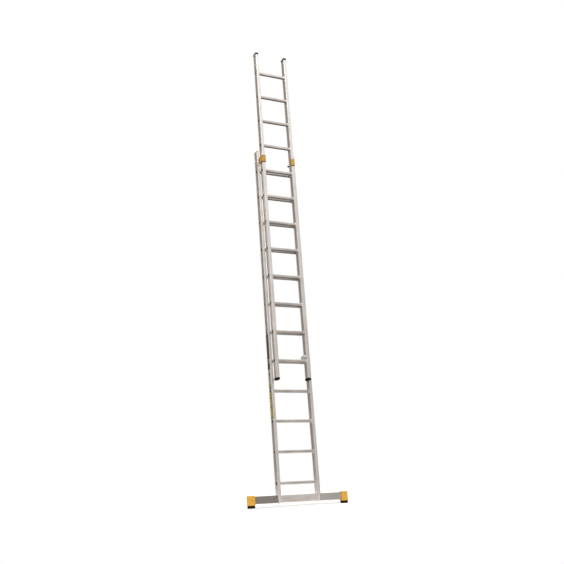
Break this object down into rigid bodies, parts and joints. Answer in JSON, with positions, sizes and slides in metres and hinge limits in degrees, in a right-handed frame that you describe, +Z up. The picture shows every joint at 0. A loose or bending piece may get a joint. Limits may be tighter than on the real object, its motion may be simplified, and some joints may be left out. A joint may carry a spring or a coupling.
{
  "type": "extension ladder",
  "caption": "Two-section push-up extension ladder in aluminium with a sliding fly section, pivoting rung hooks, guide brackets and a stabiliser bar with rubber soles.",
  "frame": {"origin": "on the ground, in the middle of the box that the ladder fills, with the ladder upright", "axes": "+X along the rungs to the climber's right, +Y from the climber towards the wall, +Z up the stiles"},
  "size_m": [1.004, 0.1289, 4.6336],
  "materials": {
    "aluminium": "mill-finish extruded, satin",
    "rung_aluminium": "extruded, satin, ribbed tread",
    "zinc_steel": "bright zinc plated",
    "yellow_plastic": "moulded, satin",
    "pale_yellow_plastic": "moulded, satin",
    "black_plastic": "moulded, satin",
    "black_rubber": "matte, ribbed sole"
  },
  "bodies": {
    "base": {"base_left_stile": "aluminium", "base_right_stile": "aluminium", "base_rung_01": "rung_aluminium", "base_rung_02": "rung_aluminium", "base_rung_03": "rung_aluminium", "base_rung_04": "rung_aluminium", "base_rung_05": "rung_aluminium", "base_rung_06": "rung_aluminium", "base_rung_07": "rung_aluminium", "base_rung_08": "rung_aluminium", "base_rung_09": "rung_aluminium", "base_rung_10": "rung_aluminium", "base_rung_11": "rung_aluminium", "base_rung_12": "rung_aluminium", "base_top_cap_left": "pale_yellow_plastic", "base_top_cap_right": "pale_yellow_plastic", "guide_bracket_left": "yellow_plastic", "guide_bracket_right": "yellow_plastic", "guide_bolt_left": "zinc_steel", "guide_bolt_right": "zinc_steel", "guide_nut_left": "black_plastic", "guide_nut_right": "black_plastic", "stabiliser_bar": "aluminium", "stabiliser_bracket_left": "aluminium", "stabiliser_bracket_right": "aluminium", "stabiliser_bolt_left": "zinc_steel", "stabiliser_bolt_right": "zinc_steel", "stabiliser_nut_left": "zinc_steel", "stabiliser_nut_right": "zinc_steel", "stabiliser_cap_left": "yellow_plastic", "stabiliser_cap_right": "yellow_plastic", "foot_pad_left": "black_rubber", "foot_pad_right": "black_rubber"},
    "fly": {"fly_left_stile": "aluminium", "fly_right_stile": "aluminium", "fly_rung_01": "rung_aluminium", "fly_rung_02": "rung_aluminium", "fly_rung_03": "rung_aluminium", "fly_rung_04": "rung_aluminium", "fly_rung_05": "rung_aluminium", "fly_rung_06": "rung_aluminium", "fly_rung_07": "rung_aluminium", "fly_rung_08": "rung_aluminium", "fly_rung_09": "rung_aluminium", "fly_rung_10": "rung_aluminium", "fly_rung_11": "rung_aluminium", "fly_rung_12": "rung_aluminium", "fly_top_cap_left": "black_plastic", "fly_top_cap_right": "black_plastic", "fly_bottom_cap_left": "black_plastic", "fly_bottom_cap_right": "black_plastic", "hook_bolt_left": "zinc_steel", "hook_bolt_right": "zinc_steel", "hook_nut_left": "zinc_steel", "hook_nut_right": "zinc_steel"},
    "hook_left": {"hook_left": "zinc_steel"},
    "hook_right": {"hook_right": "zinc_steel"}
  },
  "joints": [
    {"name": "fly_slide", "type": "slide", "parent": "base", "child": "fly", "axis": [0, 0, 1], "range_m": [-1.12, 1.4]},
    {"name": "hook_left_swing", "type": "hinge", "parent": "fly", "child": "hook_left", "pos_m": [-0.1457, -0.0315, 1.3685], "axis": [1, 0, 0], "range_deg": [0, 105]},
    {"name": "hook_right_swing", "type": "hinge", "parent": "fly", "child": "hook_right", "pos_m": [0.1457, -0.0315, 1.3685], "axis": [1, 0, 0], "range_deg": [0, 105]}
  ]
}
